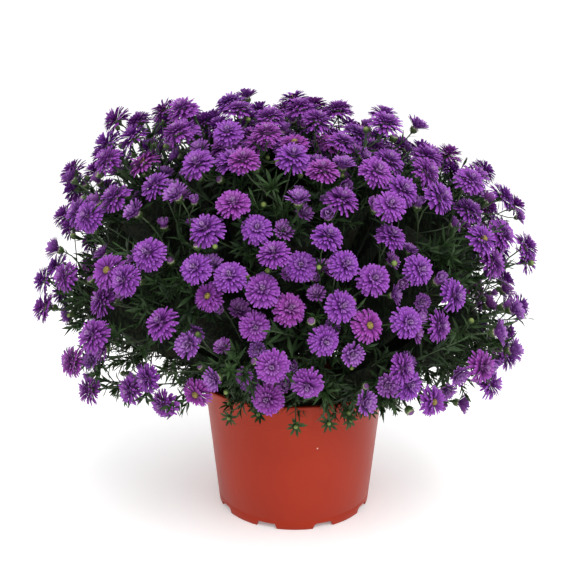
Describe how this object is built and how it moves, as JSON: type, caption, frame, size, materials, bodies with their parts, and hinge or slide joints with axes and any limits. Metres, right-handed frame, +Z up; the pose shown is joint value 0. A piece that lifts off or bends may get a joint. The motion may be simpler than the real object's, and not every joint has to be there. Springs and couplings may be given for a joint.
{
  "type": "potted aster",
  "caption": "Purple potted aster: a wide dome of double flowers and narrow leaves on branching stems in a terracotta-coloured plastic nursery pot.",
  "frame": {"origin": "on the ground under the middle of the plant's outline; the pot's axis stands 8.5 mm to the +X side and 2 mm to the -Y side of it", "axes": "+Z up, front of the plant towards -Y, +X to the right seen from the front"},
  "size_m": [0.481, 0.3882, 0.4296],
  "materials": {
    "pot": "thin terracotta-coloured plastic, semi-matt, with a soft sheen",
    "soil": null,
    "plant": null
  },
  "bodies": {
    "root": {"pot": "pot", "soil": "soil", "spray_01": "plant", "spray_02": "plant", "spray_03": "plant", "spray_04": "plant", "spray_05": "plant", "spray_06": "plant", "spray_07": "plant", "spray_08": "plant", "spray_09": "plant", "spray_10": "plant", "spray_11": "plant", "spray_12": "plant", "spray_13": "plant", "spray_14": "plant", "spray_15": "plant", "spray_16": "plant", "spray_17": "plant", "spray_18": "plant", "spray_19": "plant", "spray_20": "plant", "spray_21": "plant", "spray_22": "plant", "spray_23": "plant", "spray_24": "plant", "spray_25": "plant", "spray_26": "plant", "spray_27": "plant", "spray_28": "plant", "spray_29": "plant", "spray_30": "plant", "spray_31": "plant", "spray_32": "plant"}
  },
  "joints": []
}
